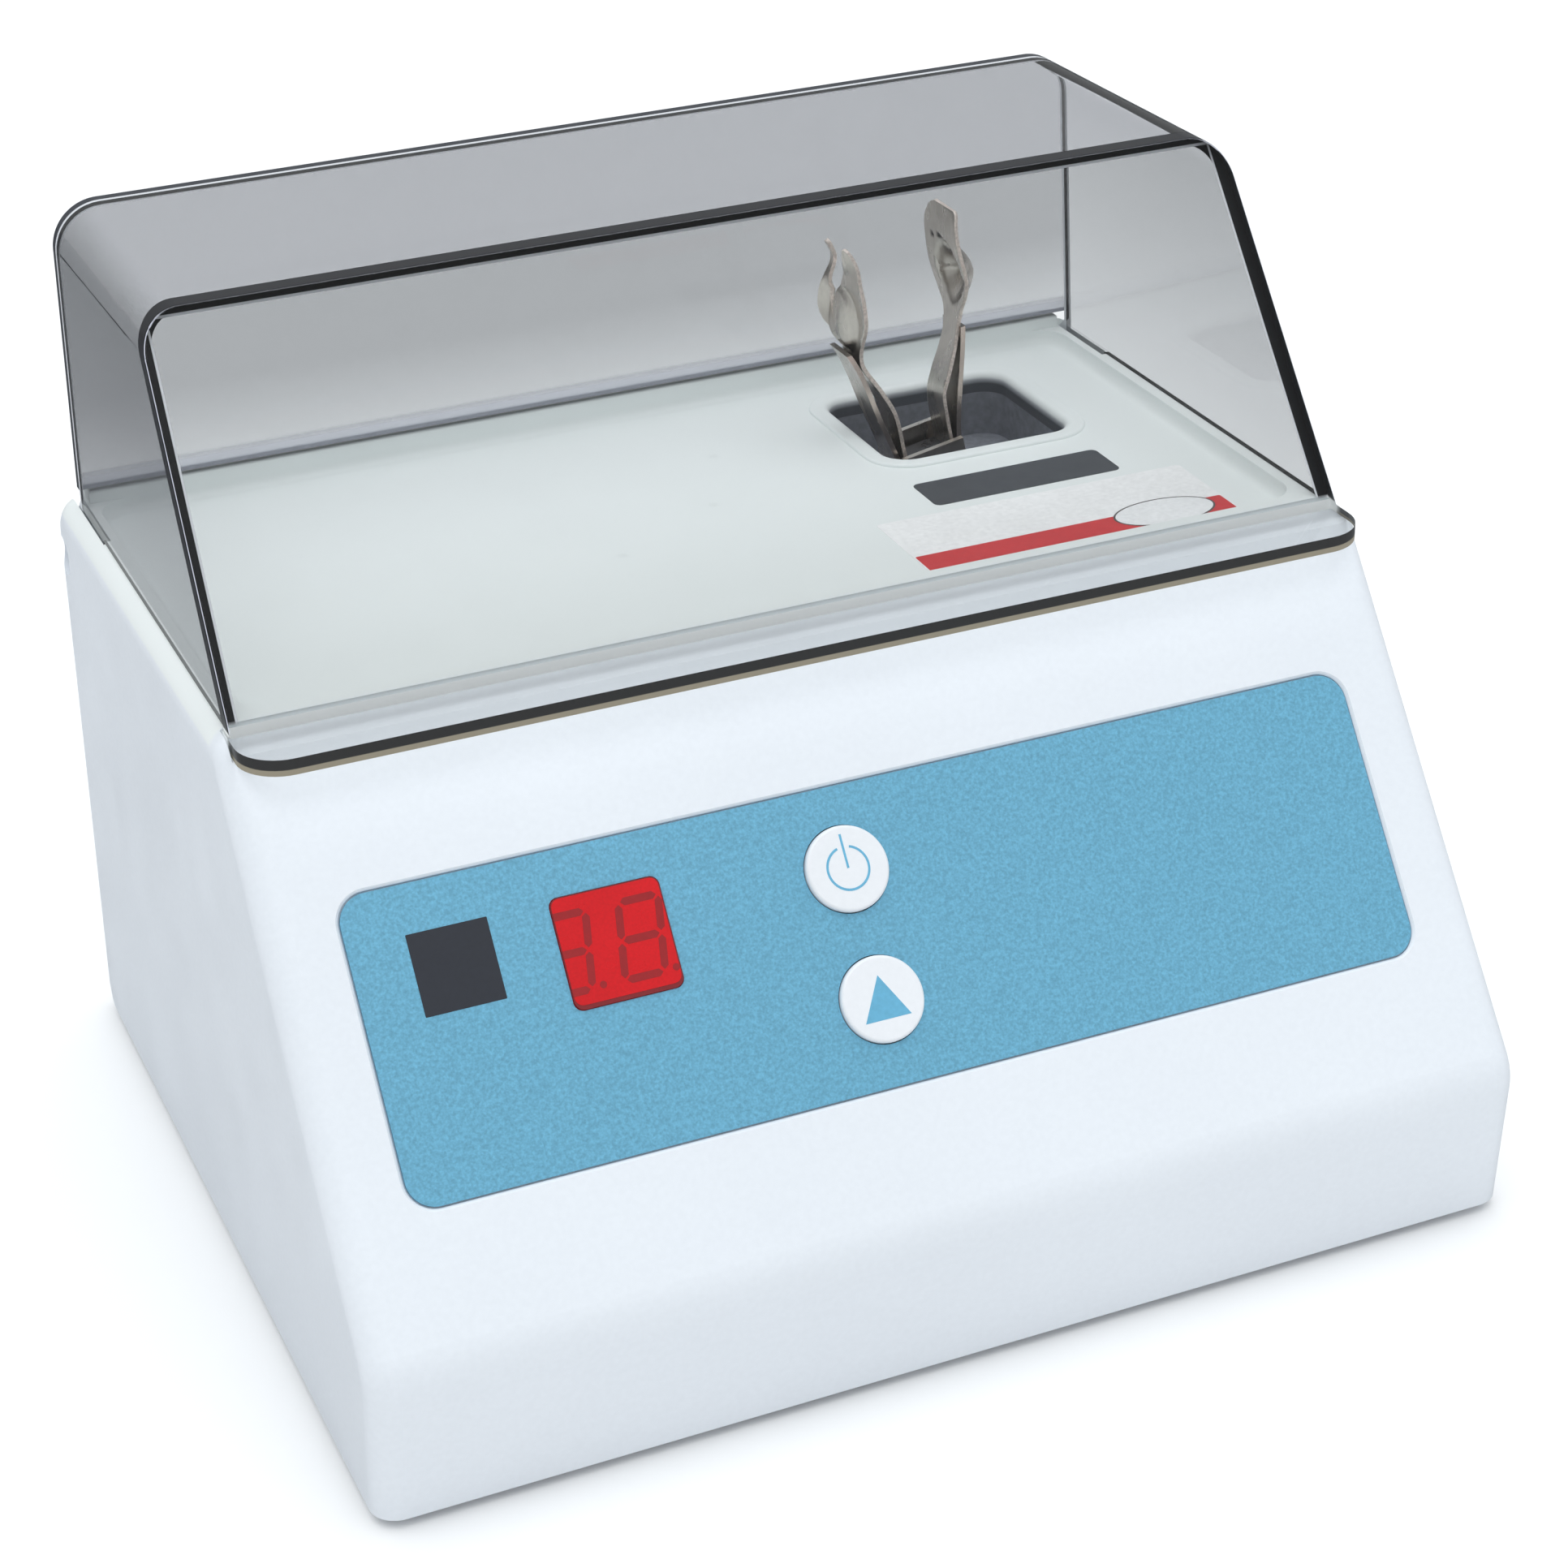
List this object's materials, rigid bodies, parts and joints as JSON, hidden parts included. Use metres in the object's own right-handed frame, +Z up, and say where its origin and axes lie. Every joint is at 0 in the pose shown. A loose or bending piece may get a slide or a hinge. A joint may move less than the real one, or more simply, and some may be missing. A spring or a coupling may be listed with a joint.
{
  "type": "dental amalgamator",
  "caption": "Bench-top capsule mixer: a white wedge housing with a sloped control panel, a hinged clear cover, and two spring forks that a motor shakes in a well.",
  "frame": {"origin": "on the bench, under the middle of the overall box", "axes": "+X to the right, +Y to the back, +Z up; the control panel faces -Y and up"},
  "size_m": [0.2162, 0.1913, 0.1758],
  "materials": {
    "housing_plastic": "fine matt moulded white",
    "base_metal": "painted sheet",
    "rubber": "dark grey rubber",
    "screw_steel": "zinc plated",
    "panel_blue": "printed film with a fine metallic grain",
    "display_red": "clear red filter",
    "display_body": "black LED module",
    "button_white": "satin white",
    "switch_black": "moulded black",
    "board_green": "glass epoxy laminate",
    "cover_clear": "smoky transparent acrylic",
    "pin_white": "white nylon",
    "fork_steel": "polished spring steel",
    "arm_metal": "die cast",
    "bearing_steel": "ground steel",
    "motor_steel": "drawn steel",
    "copper_core": "wound copper and laminations",
    "fan_plastic": "moulded nylon",
    "inlet_black": "moulded black",
    "contact_brass": "plated brass",
    "electrics_dark": "sleeved and moulded"
  },
  "bodies": {
    "housing": {"housing_shell": "housing_plastic", "base_plate": "base_metal", "rubber_feet": "rubber", "base_screws": "screw_steel", "control_overlay": "panel_blue", "display_window": "display_red", "display_module": "display_body", "button_switches": "switch_black", "control_board": "board_green", "control_board_screws": "screw_steel", "hinge_pins": "pin_white", "cover_switch": "switch_black", "well_boot": "rubber", "arm_springs": "bearing_steel", "spring_posts": "screw_steel", "motor_stator": "copper_core", "motor_can": "motor_steel", "motor_front_bell": "arm_metal", "motor_rear_bell": "arm_metal", "motor_cradle": "base_metal", "motor_straps": "base_metal", "motor_isolators": "rubber", "power_inlet": "inlet_black", "inlet_pins": "contact_brass", "fuse_drawer": "inlet_black", "power_board": "board_green", "power_board_spacers": "screw_steel", "transformer": "copper_core", "power_capacitors": "electrics_dark", "relay": "electrics_dark", "heat_sink": "arm_metal"},
    "cover": {"cover_hood": "cover_clear", "cover_back_panel": "cover_clear", "cover_front_window": "cover_clear"},
    "power_button_body": {"power_button": "button_white"},
    "time_button_body": {"time_button": "button_white"},
    "arm": {"fork_arm": "arm_metal", "fork_bracket": "fork_steel", "bearing_outer_race": "bearing_steel"},
    "left_fork_body": {"left_fork": "fork_steel", "left_backing_leaf": "fork_steel", "left_rivets": "screw_steel"},
    "right_fork_body": {"right_fork": "fork_steel", "right_backing_leaf": "fork_steel", "right_rivets": "screw_steel"},
    "rotor": {"motor_shaft": "bearing_steel", "motor_rotor": "copper_core", "skew_hub": "motor_steel", "bearing_inner_race": "bearing_steel", "bearing_balls": "bearing_steel", "cooling_fan": "fan_plastic"}
  },
  "joints": [
    {"name": "cover_hinge", "type": "hinge", "parent": "housing", "child": "cover", "pos_m": [0, 0.081, 0.1056], "axis": [-1, 0, 0], "range_deg": [0, 95]},
    {"name": "power_press", "type": "slide", "parent": "housing", "child": "power_button_body", "axis": [0, 0.8049, -0.5934], "range_m": [0, 0.0005], "stiffness_N_per_m": 800, "springref_m": -0.0006},
    {"name": "time_press", "type": "slide", "parent": "housing", "child": "time_button_body", "axis": [0, 0.8049, -0.5934], "range_m": [0, 0.0005], "stiffness_N_per_m": 800, "springref_m": -0.0006},
    {"name": "arm_swing", "type": "hinge", "parent": "housing", "child": "arm", "pos_m": [0.0615, 0.0462, 0.0806], "axis": [0, 1, 0], "range_deg": [0, 21]},
    {"name": "left_fork_flex", "type": "hinge", "parent": "arm", "child": "left_fork_body", "pos_m": [0.05237, 0.0462, 0.10352], "axis": [0, -1, 0], "range_deg": [0, 2.5], "stiffness_Nm_per_rad": 0.8, "springref_deg": -2.86},
    {"name": "right_fork_flex", "type": "hinge", "parent": "arm", "child": "right_fork_body", "pos_m": [0.06181, 0.0462, 0.10527], "axis": [0, 1, 0], "range_deg": [0, 2.5], "stiffness_Nm_per_rad": 0.8, "springref_deg": -2.86},
    {"name": "motor_spin", "type": "hinge", "parent": "housing", "child": "rotor", "pos_m": [0, 0.0462, 0.0806], "axis": [1, 0, 0], "continuous": true}
  ]
}
